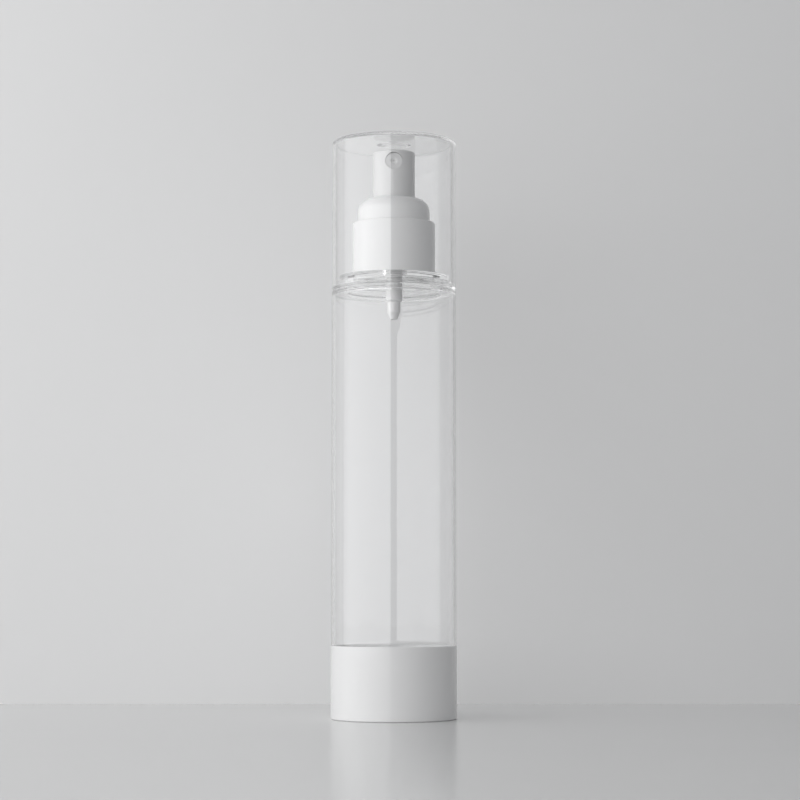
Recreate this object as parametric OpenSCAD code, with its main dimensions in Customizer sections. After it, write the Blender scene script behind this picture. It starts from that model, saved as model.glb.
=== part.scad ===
// Airless pump bottle: a clear tube with a follower piston, closed below by a base cup and above by a
// spray pump under a stepped collar, with a clear overcap. Origin at the centre of the foot, +Z up,
// the nozzle sprays along -Y. All sizes in millimetres.

/* [Bottle] */
// Outside diameter of the clear tube
bottle_d = 40.7; // [39:0.1:46]
// Wall of the clear tube
bottle_wall = 0.9; // [0.8:0.05:1.3]
// Height of the shoulder's top above the table
shoulder_top = 139.8; // [100:0.2:180]
// Thickness of the shoulder
shoulder_t = 1.7; // [1.5:0.1:2.5]
// Radius of the shoulder's outer edge
shoulder_round = 1.1; // [0.4:0.1:1.1]
// Radius of the corner between the tube's bore and its ceiling
ceiling_round = 0.4; // [0.2:0.1:1]

/* [Platform and neck] */
// Height of the ring that the overcap slips over
seat_ring_h = 1.9; // [1.2:0.1:2.4]
// Step in from the seat ring to the platform's side
platform_step = 1.07; // [0.6:0.01:1.6]
// Height of the platform above the shoulder
platform_h = 4.1; // [3.4:0.1:6]
// Thickness of the platform's top
platform_top_t = 1.5; // [1.2:0.1:2]
// Wall of the platform between its side and the hollow under it
platform_rim = 2.45; // [1.5:0.05:3.2]
// Radius of the platform's edges
platform_round = 0.3; // [0.1:0.05:0.5]
// Outside diameter of the neck
neck_d = 20.4; // [19.6:0.1:20.8]
// Wall of the neck
neck_wall = 1.6; // [1.2:0.1:2]
// How far the neck's snap bead stands out
neck_bead = 0.7; // [0.4:0.05:0.9]
// Height of the neck's snap bead
neck_bead_h = 1.5; // [1:0.1:2]
// Distance of the snap bead below the neck's rim
neck_bead_drop = 1.2; // [0.8:0.1:2]

/* [Base cup] */
// How far the base cup's side stands proud of the tube
base_proud = 0.15; // [0:0.05:0.6]
// Height of the base cup
base_h = 23.6; // [20:0.1:32]
// Wall of the base cup
base_wall = 0.5; // [0.45:0.01:0.7]
// Thickness of the base cup's floor
base_floor_t = 1.6; // [1.2:0.1:2.4]
// Depth of the recess under the floor
foot_h = 1.2; // [0.6:0.1:2.5]
// Width of the ring that the bottle stands on
foot_w = 3.2; // [2.4:0.1:6]
// Radius of the edge round the foot
foot_round = 0.5; // [0.2:0.1:0.8]
// Diameter of the hole that lets air in under the follower
vent_d = 1.8; // [1:0.1:4]
// Height of the inner ring that the tube's end fits round
inner_ring_h = 4; // [3:0.1:6]
// Wall of the inner ring
inner_ring_wall = 1.2; // [0.8:0.1:2]

/* [Follower piston] */
// Height of the follower, crown to skirt
follower_h = 15; // [14.8:0.1:18]
// Wall of the follower
follower_wall = 1.2; // [0.8:0.1:1.5]
// Height of each wiping lip
lip_h = 1.2; // [0.8:0.1:2]
// How far the follower's waist stands in from its lips
waist_in = 0.6; // [0.3:0.05:1.2]

/* [Overcap] */
// Wall of the overcap
cap_wall = 1.16; // [0.9:0.02:1.6]
// Thickness of the overcap's top
cap_top_t = 1; // [0.8:0.1:2]
// Space between the button and the overcap's ceiling
cap_headroom = 2.5; // [1.5:0.1:8]
// Radius of the overcap's upper edge
cap_round = 0.8; // [0.3:0.1:0.9]
// Radius of the overcap's mouth edges
cap_mouth_round = 0.2; // [0.1:0.05:0.4]
// Diameter of the gate boss under the overcap's top
gate_d = 9.4; // [5:0.1:12]
// Height of the gate boss
gate_h = 0.5; // [0.3:0.05:1]

/* [Collar] */
// Wall of the snap ring between the neck's bead and the collar
snap_wall = 1.37; // [1:0.01:2.8]
// Wall of the collar
collar_wall = 1.2; // [0.9:0.05:1.4]
// Height of the collar's ledge above the snap ring
ledge_rise = 3.9; // [2.6:0.1:6]
// Width of the ledge between skirt and dome
ledge_w = 1.71; // [1.5:0.01:2.5]
// Radius of the skirt's upper edge
ledge_round = 0.4; // [0.1:0.05:0.7]
// Straight height of the dome's side
dome_side_h = 4.1; // [3.5:0.1:7]
// Radius of the dome's shoulder
dome_round = 4.6; // [3:0.05:4.6]

/* [Button] */
// Outside diameter of the button
actuator_d = 13.88; // [13.4:0.02:14]
// Wall of the button
actuator_wall = 1.14; // [0.9:0.02:1.2]
// Height of the button above the collar
actuator_rise = 14.4; // [12:0.1:20]
// Length of the button inside the collar at rest
actuator_sunk = 4; // [3:0.1:5]
// Radius of the button's upper edge
actuator_round = 0.5; // [0.2:0.05:0.9]
// Thickness of the button's top
actuator_top_t = 1.4; // [1:0.1:2]
// Diameter of the boss that grips the stem
stem_boss_d = 6.6; // [6:0.1:8]

/* [Nozzle] */
// Diameter of the nozzle insert's face
nozzle_d = 5.46; // [5:0.02:6]
// Depth of the nozzle's centre below the button's top
nozzle_drop = 3.7; // [3.7:0.1:6]
// Distance of the insert's face behind the button's front
nozzle_set_back = 0.69; // [0.6:0.01:1]
// Thickness of the insert's face flange
nozzle_flange_t = 0.9; // [0.6:0.05:1.2]
// Diameter of the insert's body
nozzle_body_d = 4.6; // [4.4:0.05:4.8]
// Length of the insert's body behind its flange
nozzle_body_l = 1.9; // [1.4:0.1:2.4]
// Diameter of the dimple round the orifice
dimple_d = 2.3; // [1.4:0.1:3]
// Depth of the dimple
dimple_h = 0.45; // [0.2:0.05:0.5]
// Diameter of the orifice
orifice_d = 0.4; // [0.3:0.05:0.8]
// Diameter of the post inside the insert
post_d = 2.2; // [1.8:0.1:2.4]

/* [Pump body] */
// Travel of the button
travel = 5.5; // [4:0.1:6.5]
// Bore of the barrel
barrel_bore_d = 8.4; // [7.8:0.1:8.6]
// Wall of the barrel
barrel_wall = 1; // [0.8:0.05:1.1]
// Thickness of the barrel's floor
barrel_floor_t = 1.2; // [0.9:0.1:1.8]
// Height of the barrel above its flange
barrel_rise = 5; // [4:0.1:5.5]
// Thickness of the flange that rests on the neck
flange_t = 1.5; // [1:0.1:2]
// Thickness of the gasket under the flange
gasket_t = 1; // [0.6:0.1:1.5]
// Outside diameter of the tube below the barrel
tube_d = 5.56; // [5.3:0.02:6.2]
// How far the tube reaches below the bottle's ceiling
tube_drop = 2.5; // [1.5:0.1:5]
// Outside diameter of the inlet nose
nose_d = 4.3; // [4:0.02:5]
// Straight length of the inlet nose
nose_l = 3.3; // [3:0.1:4]
// Length of the nose's taper
tip_l = 2.3; // [1.5:0.1:3]
// Diameter at the end of the nose
tip_d = 2.3; // [2.1:0.1:2.8]
// Bore of the inlet
inlet_d = 1.2; // [0.8:0.1:1.3]

/* [Valves and spring] */
// Diameter of the inlet ball
ball_d = 2; // [1.8:0.05:2.2]
// Lift of the ball
ball_lift = 1; // [0.6:0.1:1.2]
// Height of the ball's retainer
retainer_h = 1.8; // [1.2:0.1:2.5]
// Bore of the tube round the spring
spring_bore_d = 4.1; // [3.9:0.02:4.2]
// Diameter of the spring's wire
wire_d = 0.44; // [0.36:0.02:0.5]
// Clearance between the spring and the bore round it
spring_play = 0.18; // [0.12:0.02:0.3]
// Turns of the spring
spring_turns = 12; // [8:1:14]

/* [Stem and piston] */
// Outside diameter of the stem
stem_d = 4; // [3.8:0.05:4.2]
// Bore of the stem
stem_bore_d = 2.3; // [2:0.05:2.4]
// Outside diameter of the stem's foot inside the piston
foot_d = 3.4; // [3.2:0.05:3.6]
// Thickness of the stem's flange
stem_flange_t = 1; // [0.7:0.1:1.5]
// Height of the pump piston
piston_h = 4; // [3.4:0.1:5]
// Free travel of the piston on the stem, which opens the outlet
piston_play = 0.5; // [0.3:0.05:0.8]
// Thickness of the plug's head
plug_head_t = 1; // [0.8:0.1:1.4]
// Length of the plug's spigot inside the spring
plug_spigot_l = 2; // [1:0.1:3]
// Length of the guide inside the barrel
guide_plug_h = 2.45; // [1.8:0.05:3.5]
// Thickness of the guide's cap
guide_cap_t = 1; // [0.8:0.1:1.5]

/* [Clearances] */
// Radial clearance between pieces that are pressed together
fit_gap = 0.05; // [0.02:0.01:0.08]
// Radial clearance where one piece slides or turns in another
slide_gap = 0.05; // [0.03:0.01:0.08]
// Radial clearance between the overcap and its seat ring
cap_grip_gap = 0.08; // [0.03:0.01:0.1]
// Gap between moving pieces at rest
rest_gap = 0.3; // [0.2:0.05:0.4]

/* [Hidden] */
$fn = 96;
// Overrun of every cut past the face that it opens
over = 0.2;
// Steps in each rounded edge of an outline
edge_steps = 6;
// Steps in the dome's shoulder
dome_steps = 16;

clear_plastic = [0.9, 0.94, 0.96, 0.35];
white_plastic = [0.96, 0.96, 0.95];
soft_plastic = [0.93, 0.94, 0.95];
rubber_grey = [0.75, 0.76, 0.78];
steel = [0.72, 0.73, 0.75];

// Tube, shoulder and platform
bottle_r = bottle_d / 2;
bore_r = bottle_r - bottle_wall;
ceiling_z = shoulder_top - shoulder_t;
seat_r = bottle_r - cap_wall - cap_grip_gap;
platform_r = seat_r - platform_step;
platform_top = shoulder_top + platform_h;
hollow_r = platform_r - platform_rim;
hollow_top = platform_top - platform_top_t;

// Base cup
base_r = bottle_r + base_proud;
base_bore_r = base_r - base_wall;
base_floor = foot_h + base_floor_t;
rebate_r = base_bore_r - fit_gap;

// Pump, stacked upward from the platform. barrel_gap is the space under the barrel and end_gap the
// space left between the plug's head and the barrel's floor when the button is down.
barrel_gap = 1.1;
end_gap = 0.8;
seal_gap = 0.15;
barrel_r = barrel_bore_d / 2;
barrel_out_r = barrel_r + barrel_wall;
barrel_under = platform_top + barrel_gap;
barrel_floor = barrel_under + barrel_floor_t;
head_low = barrel_floor + end_gap + travel;
head_top = head_low + plug_head_t;
piston_low = head_top + seal_gap;
piston_top = piston_low + piston_h;
stem_flange_low = piston_top + piston_play + seal_gap;
stem_flange_top = stem_flange_low + stem_flange_t;
guide_low = stem_flange_top + rest_gap;
barrel_top = guide_low + guide_plug_h;
guide_top = barrel_top + guide_cap_t;
flange_top = barrel_top - barrel_rise;
flange_low = flange_top - flange_t;
neck_top = flange_low - gasket_t;

// Pump tail and inlet valve. The ball rests in a cone of 45 degrees.
tube_low = ceiling_z - tube_drop;
nose_low = tube_low - nose_l;
tip_z = nose_low - tip_l;
tip_round = 0.2;
ball_r = ball_d / 2;
ball_play = 0.35;
seat_clear = 0.05;
chamber_r = ball_r + ball_play;
inlet_r = inlet_d / 2;
retainer_low = tube_low + ball_r;
retainer_top = retainer_low + retainer_h;
ball_z = retainer_low - rest_gap - ball_lift - ball_r;
cone_apex = ball_z - (ball_r + seat_clear) * sqrt(2);
cone_low = cone_apex + inlet_r;
cone_top = cone_apex + chamber_r;
spring_bore_r = spring_bore_d / 2;

// Spring
wire_r = wire_d / 2;
coil_r = spring_bore_r - spring_play - wire_r;
spring_inner_r = coil_r - wire_r;
spring_end_gap = 0.04;

// Neck, snap ring and collar
neck_r = neck_d / 2;
bead_r = neck_r + neck_bead;
bead_top = neck_top - neck_bead_drop;
bead_low = bead_top - neck_bead_h;
snap_bore_r = bead_r + fit_gap;
snap_r = snap_bore_r + snap_wall;
snap_top_t = 1.2;
snap_top = flange_top + snap_top_t;
claw_h = 1.4;
claw_gap = 0.1;
claw_r = neck_r + 2 * fit_gap;
collar_bore_r = snap_r + fit_gap;
collar_r = collar_bore_r + collar_wall;
ledge_z = snap_top + ledge_rise;
dome_r = collar_r - ledge_w;
dome_round_z = ledge_z + dome_side_h;
collar_top = dome_round_z + dome_round;

// Button and stem
actuator_r = actuator_d / 2;
collar_hole_r = actuator_r + rest_gap;
actuator_low = collar_top - actuator_sunk;
actuator_top = collar_top + actuator_rise;
actuator_bore_r = actuator_r - actuator_wall;
nozzle_z = actuator_top - nozzle_drop;
stem_r = stem_d / 2;
boss_gap = 1.5;
boss_low = guide_top + travel + boss_gap;
nozzle_boss_r = nozzle_d / 2 + 0.3 * actuator_wall;
duct_r = 0.3 * stem_r;
nozzle_end_gap = 0.4;
stem_top = nozzle_z - nozzle_boss_r - duct_r;
stem_end_gap = 0.1;

// Overcap
cap_bore_r = bottle_r - cap_wall;
cap_low = shoulder_top + rest_gap;
cap_ceiling = actuator_top + cap_headroom;
cap_top = cap_ceiling + cap_top_t;

// Follower
follower_low = base_floor + inner_ring_h + rest_gap;
follower_top = follower_low + follower_h;
lip_r = bore_r - slide_gap;
crown_h = hollow_top - ceiling_z;
crown_r = hollow_r - 2 * rest_gap;
lip_top = follower_top - crown_h;
well_r = tube_d / 2 + 2 * rest_gap;
well_floor = follower_top - (hollow_top - tip_z) - rest_gap;

// Points of a round stretch about centre c, from angle a0 to angle a1
function arc(c, r, a0, a1, n = edge_steps) =
    [for (i = [0:n]) c + r * [cos(a0 + (a1 - a0) * i / n), sin(a0 + (a1 - a0) * i / n)]];

// A body turned about Z from an outline of radius and height
module turned(outline) {
    rotate_extrude() polygon(outline);
}

// A ring of rectangular section
module ring(inner_r, outer_r, low, top) {
    translate([0, 0, low]) difference() {
        cylinder(r = outer_r, h = top - low);
        translate([0, 0, -over]) cylinder(r = inner_r, h = top - low + 2 * over);
    }
}

// Clear cup with a rounded upper edge and a flat gate boss under its top
module overcap() {
    color(clear_plastic) turned(concat(
        [[0, cap_ceiling - gate_h], [gate_d / 2 - gate_h, cap_ceiling - gate_h],
         [gate_d / 2, cap_ceiling]],
        arc([cap_bore_r - ceiling_round, cap_ceiling - ceiling_round], ceiling_round, 90, 0),
        arc([cap_bore_r + cap_mouth_round, cap_low + cap_mouth_round], cap_mouth_round, 180, 270),
        arc([bottle_r - cap_mouth_round, cap_low + cap_mouth_round], cap_mouth_round, 270, 360),
        arc([bottle_r - cap_round, cap_top - cap_round], cap_round, 0, 90),
        [[0, cap_top]]));
}

// Push button: a shell with a boss for the stem, a cross boss for the nozzle and the duct between them
module actuator() {
    front = -actuator_r - over;
    face_y = -actuator_r + nozzle_set_back;
    flange_y = face_y + nozzle_flange_t;
    body_y = flange_y + nozzle_body_l + nozzle_end_gap;
    annulus_z = nozzle_z - (nozzle_body_d + post_d) / 4;
    color(white_plastic) difference() {
        union() {
            turned(concat(
                [[actuator_bore_r, actuator_low], [actuator_r, actuator_low]],
                arc([actuator_r - actuator_round, actuator_top - actuator_round],
                    actuator_round, 0, 90),
                [[0, actuator_top], [0, actuator_top - actuator_top_t],
                 [actuator_bore_r, actuator_top - actuator_top_t]]));
            translate([0, 0, boss_low])
                cylinder(d = stem_boss_d, h = actuator_top - actuator_top_t / 2 - boss_low);
            intersection() {
                translate([0, 0, nozzle_z]) rotate([90, 0, 0])
                    cylinder(r = nozzle_boss_r, h = actuator_r);
                translate([0, 0, actuator_low])
                    cylinder(r = actuator_r - actuator_wall / 2, h = actuator_top - actuator_low);
            }
        }
        translate([0, 0, boss_low - over])
            cylinder(r = stem_r + slide_gap, h = stem_top + stem_end_gap - boss_low + over);
        translate([0, 0, stem_top]) cylinder(r = duct_r, h = annulus_z - stem_top);
        translate([0, 0, annulus_z]) rotate([90, 0, 0])
            cylinder(r = duct_r, h = -body_y + over);
        translate([0, 0, annulus_z]) sphere(r = duct_r);
        translate([0, front, nozzle_z]) rotate([-90, 0, 0])
            cylinder(r = nozzle_d / 2 + fit_gap, h = flange_y - front);
        difference() {
            translate([0, flange_y - over, nozzle_z]) rotate([-90, 0, 0])
                cylinder(r = nozzle_body_d / 2 + fit_gap, h = body_y - flange_y + over);
            translate([0, flange_y, nozzle_z]) rotate([-90, 0, 0])
                cylinder(r = post_d / 2, h = body_y - flange_y + over);
        }
    }
}

// Spray insert: flange with a dimple round the orifice, and a fluted cup that fits over the button's post
module nozzle_insert() {
    face_y = -actuator_r + nozzle_set_back;
    swirl_gap = nozzle_flange_t - dimple_h - 0.3 * nozzle_flange_t;
    flutes = 3;
    flute_r = post_d / 8;
    color(white_plastic) translate([0, face_y, nozzle_z]) rotate([-90, 0, 0]) difference() {
        union() {
            cylinder(d = nozzle_d, h = nozzle_flange_t);
            cylinder(d = nozzle_body_d, h = nozzle_flange_t + nozzle_body_l);
        }
        translate([0, 0, -over]) cylinder(d = orifice_d, h = nozzle_flange_t + 2 * over);
        translate([0, 0, -over]) cylinder(
            d1 = dimple_d + 2 * over * (dimple_d - orifice_d) / 2 / dimple_h,
            d2 = orifice_d, h = dimple_h + over);
        translate([0, 0, nozzle_flange_t - swirl_gap])
            cylinder(r = post_d / 2 + fit_gap, h = nozzle_body_l + swirl_gap + over);
        for (i = [0:flutes - 1])
            rotate([0, 0, i * 360 / flutes]) translate([post_d / 2, 0, nozzle_flange_t - swirl_gap])
                cylinder(r = flute_r, h = nozzle_body_l + swirl_gap + over);
    }
}

// White shroud: skirt, ledge and domed top, one wall all over, open below and round the button
module collar() {
    inner_round = dome_round - collar_wall;
    round_r = dome_r - dome_round;
    color(white_plastic) difference() {
        turned(concat(
            [[collar_bore_r, platform_top], [collar_r, platform_top]],
            arc([collar_r - ledge_round, ledge_z - ledge_round], ledge_round, 0, 90),
            [[dome_r, ledge_z]],
            arc([round_r, dome_round_z], dome_round, 0, 90, dome_steps),
            [[0, collar_top], [0, collar_top - collar_wall]],
            arc([round_r, dome_round_z], inner_round, 90, 0, dome_steps),
            [[dome_r - collar_wall, ledge_z - collar_wall],
             [collar_bore_r, ledge_z - collar_wall]]));
        translate([0, 0, dome_round_z])
            cylinder(r = collar_hole_r, h = collar_top - dome_round_z + over);
    }
}

// Inner ring with six fingers, each with a claw under the neck's bead, and a top that holds the flange
module snap_ring() {
    low = bead_low - claw_gap - claw_h;
    slots = 6;
    slot_w = claw_h;
    color(white_plastic) difference() {
        turned([[claw_r, low], [snap_r, low], [snap_r, snap_top],
                [barrel_out_r + fit_gap, snap_top], [barrel_out_r + fit_gap, flange_top],
                [snap_bore_r, flange_top], [snap_bore_r, bead_low - claw_gap],
                [claw_r, bead_low - claw_gap - claw_h / 4]]);
        for (i = [0:slots - 1])
            rotate([0, 0, (i + 1 / 2) * 360 / slots])
                translate([0, -slot_w / 2, low - over])
                    cube([collar_r, slot_w, flange_low - low + over]);
    }
}

// Flat seal between the neck's rim and the pump's flange
module neck_gasket() {
    color(rubber_grey) ring(barrel_out_r + fit_gap, bead_r, neck_top, flange_low);
}

// Clear moulding: tube, shoulder, seat ring, platform with the hollow under it, and neck
module bottle() {
    hub_r = tube_d / 2 + 2 * fit_gap;
    ring_top = shoulder_top + seat_ring_h;
    edge_r = min(shoulder_round, bottle_r - seat_r - cap_grip_gap);
    color(clear_plastic) turned(concat(
        [[bore_r, base_floor], [rebate_r, base_floor], [rebate_r, base_h], [bottle_r, base_h]],
        arc([bottle_r - edge_r, shoulder_top - edge_r], edge_r, 0, 90),
        [[seat_r, shoulder_top]],
        arc([seat_r - platform_round, ring_top - platform_round], platform_round, 0, 90),
        [[platform_r, ring_top]],
        arc([platform_r - platform_round, platform_top - platform_round], platform_round, 0, 90),
        [[neck_r, platform_top], [neck_r, bead_low], [bead_r, bead_low],
         [bead_r, bead_top], [neck_r, neck_top], [neck_r - neck_wall, neck_top],
         [neck_r - neck_wall, platform_top], [hub_r, platform_top], [hub_r, hollow_top]],
        arc([hollow_r - ceiling_round, hollow_top - ceiling_round], ceiling_round, 90, 0),
        [[hollow_r, ceiling_z]],
        arc([bore_r - ceiling_round, ceiling_z - ceiling_round], ceiling_round, 90, 0)));
}

// Pump body: barrel with its flange, the spring's tube, the ball's chamber and seat, and the nose
module pump_housing() {
    color(white_plastic) turned([
        [inlet_r, tip_z], [tip_d / 2 - tip_round, tip_z], [tip_d / 2, tip_z + tip_round],
        [nose_d / 2, nose_low], [nose_d / 2, tube_low],
        [tube_d / 2, tube_low + (tube_d - nose_d) / 2], [tube_d / 2, barrel_under],
        [barrel_out_r - barrel_wall / 2, barrel_under],
        [barrel_out_r, barrel_under + barrel_wall / 2],
        [barrel_out_r, flange_low], [bead_r, flange_low], [bead_r, flange_top],
        [barrel_out_r, flange_top], [barrel_out_r, barrel_top], [barrel_r, barrel_top],
        [barrel_r, barrel_floor], [spring_bore_r, barrel_floor], [spring_bore_r, retainer_low],
        [chamber_r, retainer_low], [chamber_r, cone_top], [inlet_r, cone_low]]);
}

// Guide: a plug in the barrel's mouth with a chamfered cap and a groove that thins the plug
module stem_guide() {
    hole_r = stem_r + slide_gap;
    plug_r = barrel_r - fit_gap;
    third = (plug_r - hole_r) / 3;
    color(white_plastic) turned([
        [hole_r, guide_low], [hole_r + third, guide_low], [hole_r + third, barrel_top - guide_cap_t],
        [plug_r - third, barrel_top - guide_cap_t], [plug_r - third, guide_low], [plug_r, guide_low],
        [plug_r, barrel_top], [barrel_out_r, barrel_top], [barrel_out_r, guide_top - guide_cap_t / 2],
        [barrel_out_r - guide_cap_t / 2, guide_top], [hole_r, guide_top]]);
}

// Hollow stem: flange under the guide, thinner foot for the piston, and four ports at its end
module stem() {
    flange_r = (stem_r + barrel_r) / 2;
    ports = 4;
    port_w = stem_bore_d / 3;
    color(white_plastic) difference() {
        turned([
            [stem_bore_d / 2, head_top], [foot_d / 2, head_top], [foot_d / 2, stem_flange_low],
            [flange_r, stem_flange_low], [flange_r, stem_flange_top], [stem_r, stem_flange_top],
            [stem_r, stem_top - duct_r], [stem_r - duct_r / 2, stem_top], [stem_bore_d / 2, stem_top]]);
        for (i = [0:ports - 1])
            rotate([0, 0, i * 360 / ports])
                translate([0, -port_w / 2, head_top - over])
                    cube([stem_r, port_w, piston_play + over]);
    }
}

// Foot of the stem: a fluted pin inside the stem, a head under the piston and a spigot in the spring
module stem_plug() {
    pin_r = stem_bore_d / 2 - fit_gap;
    spigot_r = spring_inner_r - spring_play;
    head_r = (foot_d / 2 + barrel_r) / 2;
    flutes = 4;
    color(white_plastic) difference() {
        turned([
            [0, head_low - plug_spigot_l], [spigot_r - spring_play, head_low - plug_spigot_l],
            [spigot_r, head_low - plug_spigot_l + spring_play], [spigot_r, head_low],
            [head_r - plug_head_t / 2, head_low], [head_r, head_low + plug_head_t / 2],
            [head_r, head_top], [pin_r, head_top], [pin_r, piston_top], [0, piston_top]]);
        for (i = [0:flutes - 1])
            rotate([0, 0, i * 360 / flutes])
                translate([pin_r, 0, head_top + seal_gap])
                    cylinder(r = pin_r / 3, h = piston_top - head_top);
    }
}

// Sliding seal: two thin lips on the barrel and a sleeve on the stem's foot
module pump_piston() {
    hole_r = foot_d / 2 + slide_gap;
    piston_lip_r = barrel_r - slide_gap;
    sleeve_r = hole_r + (piston_lip_r - hole_r) / 3;
    lip_in_r = piston_lip_r - (piston_lip_r - hole_r) / 4;
    web_low = piston_low + piston_h * 3 / 8;
    web_top = piston_low + piston_h * 5 / 8;
    lip_relief = spring_play;
    color(soft_plastic) turned([
        [hole_r, piston_low], [sleeve_r, piston_low], [sleeve_r, web_low], [lip_in_r, web_low],
        [lip_in_r, piston_low], [piston_lip_r, piston_low],
        [piston_lip_r, piston_low + piston_h / 8],
        [piston_lip_r - lip_relief, web_low], [piston_lip_r - lip_relief, web_top],
        [piston_lip_r, piston_top - piston_h / 8],
        [piston_lip_r, piston_top], [lip_in_r, piston_top], [lip_in_r, web_top],
        [sleeve_r, web_top], [sleeve_r, piston_top], [hole_r, piston_top]]);
}

// Height of the wire's centre at a share of the turns: the end turns lie close, the rest are even
function coil_rise(turn) =
    let (low = retainer_top + wire_r + spring_end_gap,
         top = head_low - wire_r - spring_end_gap,
         close = wire_d + spring_end_gap,
         pitch = (top - low - 2 * close) / (spring_turns - 2))
    turn < 1 ? low + turn * close
    : turn > spring_turns - 1 ? top - (spring_turns - turn) * close
    : low + close + (turn - 1) * pitch;

// Round steel wire wound in a helix
module return_spring() {
    rings_per_turn = 8;
    sides = 6;
    rings = spring_turns * rings_per_turn;
    points = [for (i = [0:rings]) for (k = [0:sides - 1])
        let (turn = i / rings_per_turn, a = turn * 360, b = k * 360 / sides,
             r = coil_r + wire_r * cos(b))
        [r * cos(a), r * sin(a), coil_rise(turn) + wire_r * sin(b)]];
    skin = [for (i = [0:rings - 1]) for (k = [0:sides - 1])
        let (p = i * sides + k, q = i * sides + (k + 1) % sides)
        for (face = [[p, q, q + sides], [p, q + sides, p + sides]]) face];
    start_cap = [for (k = [1:sides - 2]) [0, k + 1, k]];
    end_cap = [for (k = [1:sides - 2]) [rings * sides, rings * sides + k, rings * sides + k + 1]];
    color(steel) polyhedron(points = points, faces = concat(skin, start_cap, end_cap));
}

// Spider in the spring's tube: it stops the ball, lets the liquid past and seats the spring
module ball_retainer() {
    slots = 3;
    slot_w = ball_r / 2;
    color(white_plastic) translate([0, 0, retainer_low]) difference() {
        cylinder(r = spring_bore_r - fit_gap, h = retainer_h);
        translate([0, 0, -over]) cylinder(r = ball_r * 0.7, h = retainer_h + 2 * over);
        for (i = [0:slots - 1])
            rotate([0, 0, i * 360 / slots]) translate([0, -slot_w / 2, -over])
                cube([chamber_r, slot_w, retainer_h / 2 + over]);
    }
}

// Ball that closes the inlet
module inlet_ball() {
    color(steel) translate([0, 0, ball_z]) sphere(r = ball_r);
}

// Follower: two wiping lips, a crown that fills the hollow above and a well that clears the pump's nose
module follower_piston() {
    waist_r = lip_r - waist_in;
    inner_r = waist_r - follower_wall;
    skirt_top = follower_low + lip_h;
    color(soft_plastic) turned([
        [0, well_floor - follower_wall], [well_r + follower_wall, well_floor - follower_wall],
        [well_r + follower_wall, follower_top - follower_wall],
        [crown_r - follower_wall, follower_top - follower_wall],
        [crown_r - follower_wall, lip_top - follower_wall], [inner_r, lip_top - follower_wall],
        [inner_r, follower_low], [lip_r, follower_low], [lip_r, skirt_top],
        [waist_r, skirt_top + waist_in], [waist_r, lip_top - lip_h - waist_in],
        [lip_r, lip_top - lip_h], [lip_r, lip_top], [crown_r, lip_top],
        [crown_r, follower_top], [well_r, follower_top], [well_r, well_floor], [0, well_floor]]);
}

// Base cup: side round the tube's end, inner ring inside it, floor with a vent, and a foot ring
module base_cup() {
    ring_out_r = bore_r - fit_gap;
    ring_in_r = ring_out_r - inner_ring_wall;
    color(white_plastic) difference() {
        turned(concat(
            [[0, foot_h], [base_r - foot_w - foot_h, foot_h], [base_r - foot_w, 0]],
            arc([base_r - foot_round, foot_round], foot_round, 270, 360),
            [[base_r, base_h], [base_bore_r, base_h], [base_bore_r, base_floor],
             [ring_out_r, base_floor], [ring_out_r, base_floor + inner_ring_h],
             [ring_in_r, base_floor + inner_ring_h], [ring_in_r, base_floor], [0, base_floor]]));
        translate([0, 0, foot_h - over]) cylinder(d = vent_d, h = base_floor_t + 2 * over);
    }
}

overcap();
actuator();
nozzle_insert();
collar();
snap_ring();
neck_gasket();
bottle();
pump_housing();
stem_guide();
stem();
stem_plug();
pump_piston();
return_spring();
ball_retainer();
inlet_ball();
follower_piston();
base_cup();
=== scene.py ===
"""Airless pump bottle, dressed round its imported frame: a clear tube with a white base cup, a spray pump
under a stepped white collar, and a clear overcap. Metres, +Z up, the nozzle sprays along -Y."""

import math

import bpy
import numpy as np
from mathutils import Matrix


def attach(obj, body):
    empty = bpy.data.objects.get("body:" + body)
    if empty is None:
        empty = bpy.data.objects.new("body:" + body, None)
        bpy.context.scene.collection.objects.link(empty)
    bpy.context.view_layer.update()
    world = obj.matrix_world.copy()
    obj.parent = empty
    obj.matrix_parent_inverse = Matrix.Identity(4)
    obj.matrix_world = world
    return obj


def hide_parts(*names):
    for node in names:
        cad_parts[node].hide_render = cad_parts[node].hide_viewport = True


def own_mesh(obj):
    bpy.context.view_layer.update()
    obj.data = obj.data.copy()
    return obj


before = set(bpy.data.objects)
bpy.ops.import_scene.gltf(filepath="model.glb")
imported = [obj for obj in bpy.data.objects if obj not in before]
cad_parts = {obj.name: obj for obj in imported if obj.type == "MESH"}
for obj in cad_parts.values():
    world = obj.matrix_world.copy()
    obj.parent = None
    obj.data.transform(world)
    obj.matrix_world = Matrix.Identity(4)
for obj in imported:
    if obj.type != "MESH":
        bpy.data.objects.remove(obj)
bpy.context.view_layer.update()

# Camera
# A long lens a little above the base cup, tilted up, as the photograph was taken.
lens = bpy.data.cameras.new("lens")
lens.lens = 98.7
lens.sensor_width = 36.0
camera = bpy.data.objects.new("camera", lens)
camera.location = (0.0020, -0.7154, 0.0426)
camera.rotation_euler = (math.radians(94.865), 0.0, 0.0)
bpy.context.scene.collection.objects.link(camera)
bpy.context.scene.camera = camera

# Room
# A pale satin table against a pale painted wall, lit by one wide soft panel at the left whose right
# edge stands just left of the camera, so that every glossy round piece shows it as a sharp step.
scene = bpy.context.scene
scene.view_settings.view_transform = "Standard"
# A ray through both sides of two clear walls meets many surfaces, so it may bounce often.
scene.cycles.max_bounces = 32
scene.cycles.glossy_bounces = 24
scene.cycles.transmission_bounces = 24
scene.cycles.transparent_max_bounces = 24

WALL_Y = 0.0904
WALL_LEFT = -0.31
WALL_RIGHT = 0.16
ROOM_HALF = 1.6


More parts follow.
